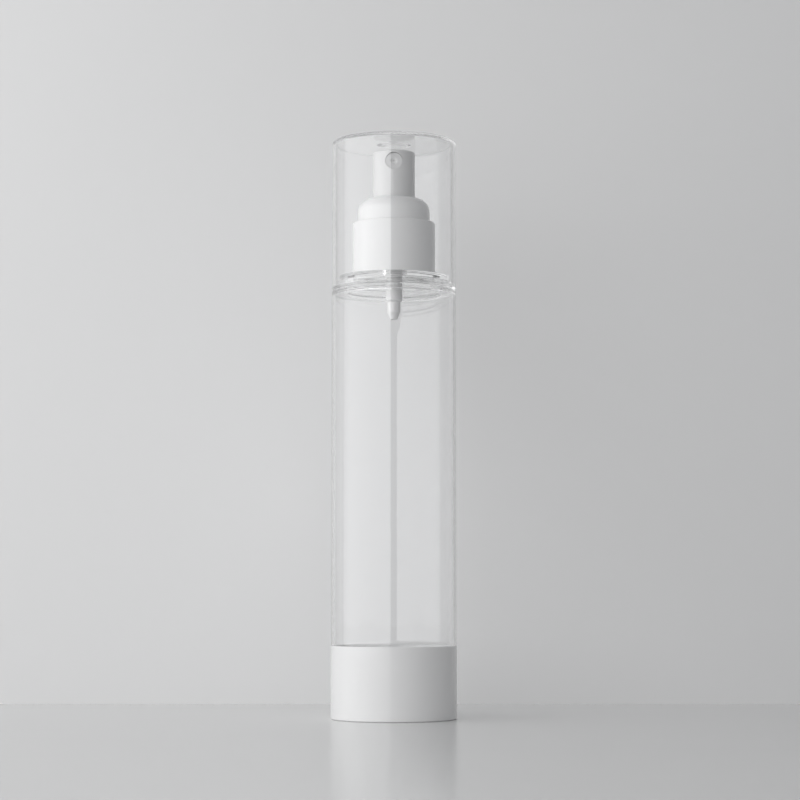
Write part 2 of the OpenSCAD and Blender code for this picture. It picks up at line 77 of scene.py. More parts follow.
def sheet_mesh(name, corners):
    """One flat rectangle from its four corners, in turn."""
    mesh = bpy.data.meshes.new(name)
    mesh.from_pydata(corners, [], [(0, 1, 2, 3)])
    piece = bpy.data.objects.new(name, mesh)
    scene.collection.objects.link(piece)
    return piece


def new_material(name):
    """A material whose node called where gives the piece's own coordinates."""
    mat = bpy.data.materials.new(name)
    mat.use_nodes = True
    mat.node_tree.nodes.new("ShaderNodeTexCoord").name = "where"
    return mat


def noise(mat, scale, detail, distortion=0.0):
    """Noise on the piece's own coordinates."""
    nodes, links = mat.node_tree.nodes, mat.node_tree.links
    node = nodes.new("ShaderNodeTexNoise")
    node.inputs["Scale"].default_value = scale
    node.inputs["Detail"].default_value = detail
    node.inputs["Distortion"].default_value = distortion
    links.new(nodes["where"].outputs["Object"], node.inputs["Vector"])
    return node.outputs["Fac"]


def tinted(mat, drift, low, high):
    """Lets the colour drift between two, in the node called tone."""
    nodes, links = mat.node_tree.nodes, mat.node_tree.links
    tone = nodes.new("ShaderNodeMix")
    tone.name = "tone"
    tone.data_type = "RGBA"
    tone.inputs[6].default_value = (*low, 1.0)
    tone.inputs[7].default_value = (*high, 1.0)
    links.new(drift, tone.inputs[0])
    links.new(tone.outputs[2], nodes["Principled BSDF"].inputs["Base Color"])


def polished(mat, drift, low, high):
    """Lets the roughness drift between two values."""
    nodes, links = mat.node_tree.nodes, mat.node_tree.links
    sheen = nodes.new("ShaderNodeMapRange")
    sheen.inputs["To Min"].default_value = low
    sheen.inputs["To Max"].default_value = high
    links.new(drift, sheen.inputs["Value"])
    links.new(sheen.outputs[0], nodes["Principled BSDF"].inputs["Roughness"])


def grained(mat, grain, strength, depth):
    """Bumps the surface by a noise, of a depth in metres."""
    nodes, links = mat.node_tree.nodes, mat.node_tree.links
    relief = nodes.new("ShaderNodeBump")
    relief.inputs["Strength"].default_value = strength
    relief.inputs["Distance"].default_value = depth
    links.new(grain, relief.inputs["Height"])
    links.new(relief.outputs[0], nodes["Principled BSDF"].inputs["Normal"])


def painted(name, shade, roughness):
    """A matt or satin grey paint: its shade and roughness drift slowly, with a fine bump."""
    mat = new_material(name)
    drift = noise(mat, scale=3.0, detail=4.0)
    tinted(mat, drift, [shade * 0.985] * 3, [shade * 1.015] * 3)
    polished(mat, drift, roughness * 0.92, roughness * 1.08)
    grained(mat, noise(mat, scale=900.0, detail=2.0), strength=0.02, depth=0.0002)
    return mat


table = sheet_mesh("table", [(-ROOM_HALF, -ROOM_HALF, 0.0), (ROOM_HALF, -ROOM_HALF, 0.0),
                             (ROOM_HALF, ROOM_HALF, 0.0), (-ROOM_HALF, ROOM_HALF, 0.0)])
table.data.materials.append(painted("table_satin", shade=0.73, roughness=0.18))
backdrop = sheet_mesh("backdrop", [(WALL_LEFT, WALL_Y, 0.0), (WALL_RIGHT, WALL_Y, 0.0),
                                   (WALL_RIGHT, WALL_Y, ROOM_HALF), (WALL_LEFT, WALL_Y, ROOM_HALF)])
wall_paint = painted("wall_paint", shade=0.785, roughness=0.60)
backdrop.data.materials.append(wall_paint)


def worked(mat, operation, *terms):
    """The result of a sum on numbers and sockets."""
    node = mat.node_tree.nodes.new("ShaderNodeMath")
    node.operation = operation
    for socket, term in zip(node.inputs, terms):
        if isinstance(term, float):
            socket.default_value = term
        else:
            mat.node_tree.links.new(term, socket)
    return node.outputs[0]


def painted_light_pool(mat, centre, half, share, ramps):
    """Paints light into the wall's colour: a painted pool of light round an x and z, of a half width and
    half height, where its colour is times the share, which fades outward as (1 - distance)^2, and slow
    ramps of painted light and shade over all of it, each along an axis between two (place, share) ends."""
    nodes, links = mat.node_tree.nodes, mat.node_tree.links
    spread = nodes.new("ShaderNodeMapping")
    spread.inputs["Location"].default_value = (-centre[0] / half[0], 0.0, -centre[1] / half[1])
    spread.inputs["Scale"].default_value = (1.0 / half[0], 0.0, 1.0 / half[1])
    links.new(nodes["where"].outputs["Object"], spread.inputs["Vector"])
    fade = nodes.new("ShaderNodeTexGradient")
    fade.gradient_type = "QUADRATIC_SPHERE"
    links.new(spread.outputs[0], fade.inputs["Vector"])
    place = nodes.new("ShaderNodeSeparateXYZ")
    links.new(nodes["where"].outputs["Object"], place.inputs[0])
    shade = worked(mat, "MULTIPLY_ADD", fade.outputs["Fac"], share - 1.0, 1.0)
    for axis, start, end in ramps:
        ramp = nodes.new("ShaderNodeMapRange")
        for socket, value in zip(("From Min", "To Min", "From Max", "To Max"), (*start, *end)):
            ramp.inputs[socket].default_value = value
        links.new(place.outputs[axis], ramp.inputs["Value"])
        shade = worked(mat, "MULTIPLY", shade, ramp.outputs[0])
    painted_light = nodes.new("ShaderNodeVectorMath")
    painted_light.operation = "SCALE"
    links.new(nodes["tone"].outputs[2], painted_light.inputs[0])
    links.new(shade, painted_light.inputs["Scale"])
    links.new(painted_light.outputs[0], nodes["Principled BSDF"].inputs["Base Color"])


# Painted light on the wall: a pool of light low behind the bottle's left side, paler toward the table and
# paler at the far left.
painted_light_pool(wall_paint, centre=(-0.04, 0.075), half=(0.13, 0.19), share=1.11,
           ramps=(("Z", (0.0, 1.035), (0.27, 0.985)), ("X", (-0.23, 1.18), (-0.15, 1.0))))


def blended(mat, share, first, second):
    """Two shaders mixed, by a share of the second."""
    node = mat.node_tree.nodes.new("ShaderNodeMixShader")
    for socket, source in zip(node.inputs, (share, first, second)):
        mat.node_tree.links.new(source, socket)
    return node.outputs[0]


def one_sided(mat):
    """Lets rays that meet the back of the sheet through, so that the bottle shows from behind too."""
    nodes, links = mat.node_tree.nodes, mat.node_tree.links
    meeting = nodes.new("ShaderNodeNewGeometry")
    through = nodes.new("ShaderNodeBsdfTransparent")
    links.new(blended(mat, meeting.outputs["Backfacing"], nodes["Principled BSDF"].outputs[0],
                      through.outputs[0]), nodes["Material Output"].inputs["Surface"])


one_sided(wall_paint)

PANEL_AWAY = 1.0
PANEL_HIGH = 0.7
PANEL_FADE = 0.25


def upright_panel(name, near, far, radiance, far_share):
    """A soft panel that stands upright between two directions, in degrees leftward from the camera's,
    as the bottle sees them. Its power is pi times its area times its radiance, and its far end, of
    PANEL_FADE of its width, fades to a share of that."""
    turn = np.radians([near, far])
    edges = np.stack([-np.sin(turn), -np.cos(turn)], -1) * PANEL_AWAY
    along = edges[0] - edges[1]
    panel = bpy.data.lights.new(name, "AREA")
    panel.shape = "RECTANGLE"
    panel.size = float(np.linalg.norm(along))
    panel.size_y = PANEL_HIGH
    panel.energy = radiance * math.pi * panel.size * panel.size_y
    panel.use_nodes = True
    nodes, links = panel.node_tree.nodes, panel.node_tree.links
    spot = nodes.new("ShaderNodeNewGeometry")
    part = nodes.new("ShaderNodeSeparateXYZ")
    links.new(spot.outputs["Parametric"], part.inputs[0])
    fade = nodes.new("ShaderNodeMapRange")
    fade.inputs["From Max"].default_value = PANEL_FADE
    fade.inputs["To Min"].default_value = far_share
    links.new(part.outputs["X"], fade.inputs["Value"])
    links.new(fade.outputs[0], nodes["Emission"].inputs["Strength"])
    lamp = bpy.data.objects.new(name, panel)
    lamp.location = (*edges.mean(0), PANEL_HIGH / 2)
    lamp.rotation_euler = (math.radians(90.0), 0.0, math.atan2(along[1], along[0]))
    scene.collection.objects.link(lamp)


upright_panel("soft_panel", near=5.7, far=106.5, radiance=1.74, far_share=0.50)

ZENITH_SHARE = 0.40
world = bpy.data.worlds.new("studio")
world.use_nodes = True
sky_nodes, sky_links = world.node_tree.nodes, world.node_tree.links
sky_nodes["Background"].inputs["Color"].default_value = (0.442, 0.446, 0.455, 1.0)
direction = sky_nodes.new("ShaderNodeTexCoord")
parts = sky_nodes.new("ShaderNodeSeparateXYZ")
sky_links.new(direction.outputs["Object"], parts.inputs[0])
dusk = sky_nodes.new("ShaderNodeMapRange")
dusk.inputs["To Min"].default_value = 1.0
dusk.inputs["To Max"].default_value = ZENITH_SHARE
sky_links.new(parts.outputs["Z"], dusk.inputs["Value"])
sky_links.new(dusk.outputs[0], sky_nodes["Background"].inputs["Strength"])
scene.world = world

# Bottle
# One clear styrene moulding: thin tube, rounded shoulder, seat ring for the overcap, raised platform
# with the hollow under it, and the neck with its snap bead, which the collar hides.
MM = 0.001
TURNS = 288
CORNER_STEPS = 6
# The least divisor, and in metres the distance of two points that are one and of a point on the axis.
TINY = 1e-9
SAME_POINT = 1e-7
ON_AXIS = 1e-8


def rounded(corners, steps=CORNER_STEPS):
    """Outline of a turned piece from rows of (radius, height, fillet) in millimetres, anticlockwise.
    At each corner the arc's centre lies on the bisector, fillet / sin(half angle) away, and the arc
    runs between the two points that are fillet / tan(half angle) from the corner. Returns the points
    and, for the stretch after each point, the outward directions at its two ends."""
    rows = np.array([(*c, 0.0)[:3] for c in corners], float) * MM
    point, fillet = rows[:, :2], rows[:, 2]
    before, after = np.roll(point, 1, 0) - point, np.roll(point, -1, 0) - point
    len_b, len_a = np.linalg.norm(before, axis=1), np.linalg.norm(after, axis=1)
    before, after = before / len_b[:, None], after / len_a[:, None]
    half = np.arccos(np.clip((before * after).sum(1), -1.0, 1.0)) / 2
    bisector = before + after
    bisector /= np.maximum(np.linalg.norm(bisector, axis=1), TINY)[:, None]
    centre = point + bisector * (fillet / np.sin(half))[:, None]
    start = point + before * (fillet / np.tan(half))[:, None] - centre
    end = point + after * (fillet / np.tan(half))[:, None] - centre
    swing = (np.pi - 2 * half)[:, None, None]
    s = np.linspace(0.0, 1.0, steps + 1)[None, :, None]
    arc = (np.sin((1 - s) * swing) * start[:, None] + np.sin(s * swing) * end[:, None])
    arc /= np.maximum(np.sin(swing), TINY)
    line = centre[:, None] + arc
    ahead = np.roll(line.reshape(-1, 2), -1, 0) - line.reshape(-1, 2)
    flat = np.stack([ahead[:, 1], -ahead[:, 0]], -1)
    flat /= np.maximum(np.linalg.norm(flat, axis=1), TINY)[:, None]
    out_b = np.stack([-before[:, 1], before[:, 0]], -1)
    side = np.sign((arc[:, 0] * out_b).sum(1))
    round_ = arc / np.maximum(np.linalg.norm(arc, axis=2), TINY)[:, :, None] * side[:, None, None]
    ends = np.stack([flat, flat], 1)
    inside = np.tile(np.arange(steps + 1) < steps, len(rows))
    round_ = round_.reshape(-1, 2)
    ends[inside] = np.stack([round_, np.roll(round_, -1, 0)], 1)[inside]
    keep = np.linalg.norm(ahead, axis=1) > SAME_POINT
    return line.reshape(-1, 2)[keep], ends[keep]


def new_piece(name, points, faces, normals):
    """A smooth-shaded mesh piece from points, arrays of faces with as many columns as corners, and the
    exact outward direction at every corner of every face, in the same order."""
    mesh = bpy.data.meshes.new(name)
    loops = np.concatenate([f.ravel() for f in faces]).astype(np.int32)
    sizes = np.concatenate([np.full(len(f), f.shape[1]) for f in faces])
    used = np.unique(loops)
    index = np.zeros(len(points), np.int32)
    index[used] = np.arange(len(used))
    mesh.vertices.add(len(used))
    mesh.vertices.foreach_set("co", points[used].astype(np.float32).ravel())
    mesh.loops.add(len(loops))
    mesh.loops.foreach_set("vertex_index", index[loops])
    mesh.polygons.add(len(sizes))
    mesh.polygons.foreach_set("loop_start", (np.cumsum(sizes) - sizes).astype(np.int32))
    mesh.polygons.foreach_set("use_smooth", np.ones(len(sizes), bool))
    mesh.update()
    mesh.normals_split_custom_set(np.concatenate([n.reshape(-1, 3) for n in normals]))
    piece = bpy.data.objects.new(name, mesh)
    scene.collection.objects.link(piece)
    return piece


def turned_arrays(outline, ends, turns, window=None):
    """Points, faces and corner directions of an outline carried round the Z axis: x = r cos a,
    y = r sin a, z = h. A point on the axis closes with a fan. A window (row, column, count) leaves out
    count by count faces from there on."""
    r, h = outline.T
    a = np.arange(turns) * 2 * np.pi / turns
    points = np.stack([np.outer(r, np.cos(a)), np.outer(r, np.sin(a)),
                       np.repeat(h[:, None], turns, 1)], -1).reshape(-1, 3)
    i, k = np.mgrid[0:len(r), 0:turns]
    j, l = (i + 1) % len(r), (k + 1) % turns
    quads = np.stack([i * turns + k, i * turns + l, j * turns + l, j * turns + k], -1)
    turn = np.stack([k, l, l, k], -1) * 2 * np.pi / turns
    out = ends[:, [0, 0, 1, 1]][:, None]
    facing = np.stack([out[..., 0] * np.cos(turn), out[..., 0] * np.sin(turn),
                       np.broadcast_to(out[..., 1], turn.shape)], -1)
    low, high = r < ON_AXIS, np.roll(r, -1) < ON_AXIS
    side = np.repeat((~low & ~high)[:, None], turns, 1)
    if window:
        row, column, count = window
        side[row:row + count, column:column + count] = False
    faces = [quads[side]]
    normals = [facing[side]]
    for rows, corners in ((low & ~high, [0, 2, 3]), (high & ~low, [0, 1, 2])):
        fan = quads[rows][:, :, corners]
        fan[..., 0 if corners[1] == 2 else 2] -= (k if corners[1] == 2 else l)[rows]
        faces.append(fan.reshape(-1, 3))
        normals.append(facing[rows][:, :, corners])
    return points, faces, normals


def turned(name, corners, turns=TURNS, steps=CORNER_STEPS):
    """A solid of revolution with its corners rounded."""
    return new_piece(name, *turned_arrays(*rounded(corners, steps), turns))


CLEAR_IOR = 1.50
# How steeply a wall is met where the rim's painted shade line starts and is full, how many millimetres
# from the wall's radius it ends, and how many surfaces a ray meets before it goes straight on.
RIM_FACING = (0.70, 0.95)
RIM_DEPTH = 0.1
MOST_HOPS = 8.5


def clear_moulding(name, rim_radius, painted_rim_shade):
    """Clear styrene: a polished refracting skin with a faint flow in its tint and polish, and a fine
    painted shade line, of the given grey, where the wall of the given radius is met edge on. Rays from
    lamps and from matt surfaces pass it straight, less the share that its skin mirrors, f + (1 - f) (1 -
    cos)^5, so that what stands behind it is lit once. A ray that has met more than MOST_HOPS surfaces
    sees an index of 1, so light that is caught in the wall leaves it straight."""
    mat = new_material(name)
    nodes, links = mat.node_tree.nodes, mat.node_tree.links
    skin = nodes["Principled BSDF"]
    skin.inputs["IOR"].default_value = CLEAR_IOR
    skin.inputs["Transmission Weight"].default_value = 1.0
    flow = noise(mat, scale=60.0, detail=3.0, distortion=1.0)
    tinted(mat, flow, (0.990, 0.992, 0.994), (1.0, 1.0, 1.0))
    polished(mat, flow, low=0.0, high=0.008)

    slope = nodes.new("ShaderNodeLayerWeight")
    slope.inputs["Blend"].default_value = 0.5
    edge_on = nodes.new("ShaderNodeMapRange")
    for socket, value in zip(("From Min", "From Max"), RIM_FACING):
        edge_on.inputs[socket].default_value = value
    links.new(slope.outputs["Facing"], edge_on.inputs["Value"])
    across = nodes.new("ShaderNodeVectorMath")
    across.operation = "MULTIPLY"
    across.inputs[1].default_value = (1.0, 1.0, 0.0)
    links.new(nodes["where"].outputs["Object"], across.inputs[0])
    radius = nodes.new("ShaderNodeVectorMath")
    radius.operation = "LENGTH"
    links.new(across.outputs[0], radius.inputs[0])
    on_wall = worked(mat, "COMPARE", radius.outputs["Value"], rim_radius * MM, RIM_DEPTH * MM)
    # Painted shade: the skin's colour turns to the given grey where the wall is seen edge on.
    painted_rim_line = nodes.new("ShaderNodeMix")
    painted_rim_line.data_type = "RGBA"
    painted_rim_line.inputs[7].default_value = (painted_rim_shade, painted_rim_shade, painted_rim_shade, 1.0)
    links.new(worked(mat, "MULTIPLY", on_wall, edge_on.outputs[0]), painted_rim_line.inputs[0])
    links.new(nodes["tone"].outputs[2], painted_rim_line.inputs[6])
    links.new(painted_rim_line.outputs[2], skin.inputs["Base Color"])

    path = nodes.new("ShaderNodeLightPath")
    late = worked(mat, "GREATER_THAN", path.outputs["Ray Depth"], MOST_HOPS)
    links.new(worked(mat, "MULTIPLY_ADD", late, 1.0 - CLEAR_IOR, CLEAR_IOR), skin.inputs["IOR"])

    head_on = ((CLEAR_IOR - 1.0) / (CLEAR_IOR + 1.0)) ** 2
    steep = worked(mat, "POWER", slope.outputs["Facing"], 5.0)
    mirrored = worked(mat, "MULTIPLY_ADD", steep, 1.0 - head_on, head_on)
    mirror = nodes.new("ShaderNodeBsdfGlossy")
    mirror.inputs["Roughness"].default_value = 0.0
    straight = nodes.new("ShaderNodeBsdfTransparent")
    seen_by_matt = blended(mat, mirrored, straight.outputs[0], mirror.outputs[0])
    from_matt = blended(mat, path.outputs["Is Diffuse Ray"], skin.outputs[0], seen_by_matt)
    dimmed = nodes.new("ShaderNodeBsdfTransparent")
    links.new(worked(mat, "SUBTRACT", 1.0, mirrored), dimmed.inputs["Color"])
    from_lamp = blended(mat, path.outputs["Is Shadow Ray"], from_matt, dimmed.outputs[0])
    links.new(from_lamp, nodes["Material Output"].inputs["Surface"])
    return mat


def finish_piece(piece, mat, body, node):
    """Gives a new piece its material and its CAD body, and hides the CAD node that it stands in for."""
    piece.data.materials.append(mat)
    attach(piece, body)
    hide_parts(node)


CLEAR_TURNS = 576
bottle = turned("bottle_clear", [
    (19.45, 2.80, 0.05), (19.95, 2.80, 0.05), (19.95, 23.60, 0.05), (20.35, 23.60, 0.05),
    (20.35, 139.80, 1.10), (19.11, 139.80, 0.03), (19.11, 141.70, 0.30), (18.04, 141.70, 0.10),
    (18.04, 143.90, 0.30), (10.20, 143.90, 0.10), (10.20, 151.85, 0.10), (10.90, 151.85, 0.10),
    (10.90, 153.35, 0.20), (10.20, 154.55, 0.10), (8.60, 154.55, 0.10), (8.60, 143.90, 0.10),
    (2.88, 143.90, 0.10), (2.88, 142.40, 0.10), (15.59, 142.40, 0.40), (15.59, 138.10, 0.10),
    (19.45, 138.10, 0.40)], turns=CLEAR_TURNS)
finish_piece(bottle, clear_moulding("clear_tube", rim_radius=20.35, painted_rim_shade=0.50),
             "container", "bottle")

# Pump body
# White polypropylene: barrel with its flange, the tube for the spring, the ball's chamber with a
# conical seat, and the nose that draws the liquid in. Its tail hangs through the platform.


def moulded(name, colour, roughness, fleck=0.012):
    """Opaque moulded plastic: colour and polish flow slightly, with a faint fine grain."""
    mat = new_material(name)
    mat.node_tree.nodes["Principled BSDF"].inputs["IOR"].default_value = 1.49
    flow = noise(mat, scale=90.0, detail=3.0, distortion=0.6)
    tinted(mat, flow, np.multiply(colour, 1 - fleck), np.multiply(colour, 1 + fleck))
    polished(mat, flow, roughness * 0.85, roughness * 1.15)
    grained(mat, noise(mat, scale=4000.0, detail=1.0), strength=0.02, depth=0.00002)
    return mat


INNER_TURNS = 144
satin_white = moulded("satin_white", (0.79, 0.79, 0.79), roughness=0.22)
pump_body = turned("pump_body", [
    (0.60, 130.00, 0.05), (1.15, 130.00, 0.20), (2.15, 132.30, 0.30), (2.15, 135.60, 0.05),
    (2.78, 136.23, 0.15), (2.78, 145.00, 0.10), (4.70, 145.00, 0.10), (5.20, 145.50, 0.20),
    (5.20, 155.55, 0.10), (10.90, 155.55, 0.10), (10.90, 157.05, 0.20), (5.20, 157.05, 0.20),
    (5.20, 162.05, 0.10), (4.20, 162.05, 0.10), (4.20, 146.20, 0.20), (2.05, 146.20, 0.15),
    (2.05, 136.60, 0.05), (1.35, 136.60, 0.05), (1.35, 134.236, 0.10), (0.60, 133.486, 0.05)],
    turns=INNER_TURNS)
finish_piece(pump_body, satin_white, "container", "pump_housing")

# Inlet valve
# A polished steel ball that rests in the cone of the pump's nose, under a small moulded spider that
# is pressed into the tube and carries the spring.


def ground_steel(name, colour, low, high):
    """Bare steel: its polish wanders between two roughnesses over a fine drawn grain."""
    mat = new_material(name)
    mat.node_tree.nodes["Principled BSDF"].inputs["Metallic"].default_value = 1.0
    grain = noise(mat, scale=1500.0, detail=4.0)
    tinted(mat, grain, np.multiply(colour, 0.94), np.multiply(colour, 1.06))
    polished(mat, grain, low, high)
    return mat


BALL_R = 1.0
BALL_Z = 134.30
inlet_ball = turned("steel_ball", [
    (0.0, BALL_Z - BALL_R), (BALL_R, BALL_Z - BALL_R, BALL_R), (BALL_R, BALL_Z + BALL_R, BALL_R),
    (0.0, BALL_Z + BALL_R)], turns=96, steps=24)
finish_piece(inlet_ball, ground_steel("ball_steel", (0.66, 0.66, 0.67), low=0.04, high=0.10),
             "ball", "inlet_ball")

inner_white = moulded("inner_white", (0.76, 0.77, 0.77), roughness=0.42, fleck=0.02)
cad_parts["ball_retainer"].material_slots[0].material = inner_white

# Return spring
# Round steel wire wound in a helix whose two end turns lie close. It stands on the spider, pushes the
# stem's plug up, and shortens from 14 to 8.5 millimetres when the button is down.
SPRING_TURNS = 12
COIL_R = 1.65
WIRE_R = 0.22
SPRING_LOW = 138.66
SPRING_TOP = 152.24
END_RISE = 0.48


def wound_wire(name, rings_per_turn, sides):
    """A wire along a helix: at turn t its centre is COIL_R from the axis and its height runs from
    SPRING_LOW to SPRING_TOP, END_RISE in each end turn. A point of its skin is that centre plus
    WIRE_R (cos b outward, sin b upward)."""
    t = np.linspace(0.0, SPRING_TURNS, SPRING_TURNS * rings_per_turn + 1)
    rise = np.interp(t, [0.0, 1.0, SPRING_TURNS - 1.0, SPRING_TURNS],
                     [SPRING_LOW, SPRING_LOW + END_RISE, SPRING_TOP - END_RISE, SPRING_TOP])
    a = (2 * np.pi * t)[:, None]
    b = (2 * np.pi * np.arange(sides) / sides)[None]
    r = COIL_R + WIRE_R * np.cos(b)
    points = np.stack([r * np.cos(a), r * np.sin(a), rise[:, None] + WIRE_R * np.sin(b)], -1) * MM
    out = np.stack([np.cos(b) * np.cos(a), np.cos(b) * np.sin(a),
                    np.broadcast_to(np.sin(b), (len(t), sides))], -1).reshape(-1, 3)
    i, k = np.mgrid[0:len(t) - 1, 0:sides]
    l = (k + 1) % sides
    skin = np.stack([i * sides + k, (i + 1) * sides + k, (i + 1) * sides + l, i * sides + l], -1)
    skin = skin.reshape(-1, 4)
    start = np.arange(sides)[None]
    end = start[:, ::-1] + (len(t) - 1) * sides
    back = np.broadcast_to((0.0, -1.0, 0.0), (sides, 3))
    return new_piece(name, points.reshape(-1, 3), [skin, start, end], [out[skin], back, -back])


spring = wound_wire("spring_wire", rings_per_turn=24, sides=12)
finish_piece(spring, ground_steel("spring_steel", (0.60, 0.60, 0.61), low=0.16, high=0.30),
             "container", "return_spring")
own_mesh(spring)

# Stem, plug and pump piston
# The stem and the plug pressed into its foot are natural polypropylene; between them the soft white
# piston slides half a millimetre and so opens and shuts the stem's ports.
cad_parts["stem"].material_slots[0].material = inner_white
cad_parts["stem_plug"].material_slots[0].material = inner_white
soft_white = moulded("soft_white", (0.78, 0.79, 0.80), roughness=0.38)
pump_piston = turned("piston_seal", [
    (1.75, 153.65, 0.05), (2.55, 153.65, 0.15), (2.55, 155.15, 0.15), (3.55, 155.15, 0.15),
    (3.55, 153.65, 0.05), (4.15, 153.65, 0.05), (4.15, 154.15, 0.05), (3.97, 155.15, 0.20),
    (3.97, 156.15, 0.20), (4.15, 157.15, 0.05), (4.15, 157.65, 0.05), (3.55, 157.65, 0.05),
    (3.55, 156.15, 0.15), (2.55, 156.15, 0.15), (2.55, 157.65, 0.15), (1.75, 157.65, 0.05)],
    turns=INNER_TURNS)
finish_piece(pump_piston, soft_white, "seal", "pump_piston")

# Stem guide
# White plug pressed into the mouth of the barrel; a groove thins its wall, and its chamfered cap
# lies on the barrel's rim.
stem_guide = turned("guide_plug", [
    (2.05, 159.60, 0.05), (2.75, 159.60, 0.10), (2.75, 161.05, 0.15), (3.45, 161.05, 0.15),
    (3.45, 159.60, 0.10), (4.15, 159.60, 0.10), (4.15, 162.05, 0.03), (5.20, 162.05, 0.05),
    (5.20, 162.55, 0.10), (4.70, 163.05, 0.10), (2.05, 163.05, 0.10)], turns=INNER_TURNS)
finish_piece(stem_guide, satin_white, "container", "stem_guide")

# Gasket and snap ring
# A flat rubber ring on the neck's rim under the pump's flange, and the moulded ring whose six fingers
# clip under the neck's bead and hold the pump down.


def soft_rubber(name, colour):
    """Matt rubber: mottled colour with a dusty, slightly pitted skin."""
    mat = new_material(name)
    mottle = noise(mat, scale=700.0, detail=5.0)
    tinted(mat, mottle, np.multiply(colour, 0.92), np.multiply(colour, 1.08))
    polished(mat, mottle, low=0.62, high=0.82)
    grained(mat, mottle, strength=0.15, depth=0.00002)
    return mat


gasket = turned("gasket_ring", [
    (5.25, 154.55, 0.10), (10.90, 154.55, 0.10), (10.90, 155.55, 0.10), (5.25, 155.55, 0.10)],
    turns=INNER_TURNS)
finish_piece(gasket, soft_rubber("grey_rubber", (0.46, 0.47, 0.49)),
             "container", "neck_gasket")
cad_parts["snap_ring"].material_slots[0].material = inner_white

# Collar
# White stepped shroud pressed over the snap ring: straight skirt, flat ledge and a rounded dome with
# a round hole for the button. Dome and ledge lie 0.95 and 0.45 millimetres lower than the packed
# solid's, where the photograph shows them.
gloss_white = moulded("gloss_white", (0.77, 0.77, 0.77), roughness=0.03)
collar = turned("collar_shroud", [
    (12.37, 143.90, 0.10), (13.57, 143.90, 0.10), (13.57, 161.70, 0.40), (11.86, 161.70, 0.10),
    (11.86, 169.90, 4.60), (7.24, 169.90, 0.02), (7.24, 168.70, 0.02), (10.66, 168.70, 3.40),
    (10.66, 160.50, 0.30), (12.37, 160.50, 0.20)], steps=12)
finish_piece(collar, gloss_white, "container", "collar")

# Button
# White push button: a round cap with a rounded upper edge, hollow below, with a boss that grips the
# stem. A round pocket in its front takes the spray insert over a post.
BUTTON_R = 6.94
BUTTON_TURNS = 192
FRONT_COLUMN = BUTTON_TURNS * 3 // 4
NOZZLE_Z = 181.55
POCKET_R = 2.78
POCKET_EDGE = 0.08
WINDOW = 28
WINDOW_HALF = 3.1
PATCH_STEPS = 4
# Rings of the pocket, inward: radius, y, and the radial part and y of the outward direction on the
# stretch that leads there.
POCKET_RINGS = ((POCKET_R, -5.35, -1, 0), (2.35, -5.35, 0, -1), (2.35, -3.05, -1, 0),
                (1.10, -3.05, 0, -1), (1.10, -5.35, 1, 0))


def button_shell(name, corners):
    """A turned cap with a round pocket in its front. A square window of the wall is replaced by rings
    that pass evenly from the square to the pocket's circle: x and z are the mean of both, weighted by
    the ring's share, and y = -sqrt(R^2 - x^2) keeps them on the wall. The pocket goes on from there
    with plain circles about the nozzle's axis."""
    outline, ends = rounded(corners)
    low = np.array([BUTTON_R, NOZZLE_Z - WINDOW_HALF]) * MM
    row = int(np.argmin(np.linalg.norm(outline - low, axis=1)))
    column = FRONT_COLUMN - WINDOW // 2
    points, faces, normals = turned_arrays(outline, ends, BUTTON_TURNS, (row, column, WINDOW))
    rows = (row + np.arange(WINDOW + 1)) * BUTTON_TURNS
    columns = column + np.arange(WINDOW + 1)
    loop = np.concatenate([rows[0] + columns[:-1], rows[:-1] + columns[-1],
                           rows[-1] + columns[:0:-1], rows[:0:-1] + columns[0]])
    count = len(loop)
    away = points[loop][:, [0, 2]] - (0.0, NOZZLE_Z * MM)
    towards = away / np.linalg.norm(away, axis=1)[:, None]

    def on_wall(flat):
        """Points of the wall in front of the given x and z."""
        y = -np.sqrt((BUTTON_R * MM) ** 2 - flat[..., 0] ** 2)
        return np.stack([flat[..., 0], y, flat[..., 1] + NOZZLE_Z * MM], -1)

    share = np.linspace(0.0, 1.0, PATCH_STEPS + 1)[1:, None, None]
    mouth = towards * (POCKET_R + POCKET_EDGE) * MM
    patch = on_wall(away * (1 - share) + mouth * share)
    lip = on_wall(towards * POCKET_R * MM) + (0.0, POCKET_EDGE * MM, 0.0)
    flat_rings = [np.stack([towards[:, 0] * r * MM, np.full(count, y * MM),
                            towards[:, 1] * r * MM + NOZZLE_Z * MM], -1)
                  for r, y, _, _ in POCKET_RINGS]
    centre = np.array([[0.0, POCKET_RINGS[-1][1] * MM, NOZZLE_Z * MM]])
    first = len(points)
    number = first + np.arange(count * (PATCH_STEPS + 1 + len(POCKET_RINGS))).reshape(-1, count)
    points = np.concatenate([points, patch.reshape(-1, 3), lip, *flat_rings, centre])
    number = np.concatenate([loop[None], number])
    after = np.roll(number, -1, 1)
    quads = np.stack([number[:-1], after[:-1], after[1:], number[1:]], -1)

    radial = np.stack([towards[:, 0], np.zeros(count), towards[:, 1]], -1)
    along = np.roll(radial, -1, 0)
    wall = points[quads[:PATCH_STEPS]] * (1.0, 1.0, 0.0)
    wall /= np.linalg.norm(wall, axis=-1)[..., None]
    edge = np.stack([wall[-1][:, 3], wall[-1][:, 2], -along, -radial], 1)
    flat = [np.stack([d * out + (0.0, y, 0.0) for d in (radial, along, along, radial)], 1)
            for _, _, out, y in POCKET_RINGS]
    forward = np.broadcast_to((0.0, -1.0, 0.0), (count, 3, 3))
    cap = np.stack([number[-1], after[-1], np.full(count, len(points) - 1)], -1)
    faces += [quads.reshape(-1, 4), cap]
    normals += [np.concatenate([wall.reshape(-1, 4, 3), edge, *flat]), forward]
    return new_piece(name, points, faces, normals)


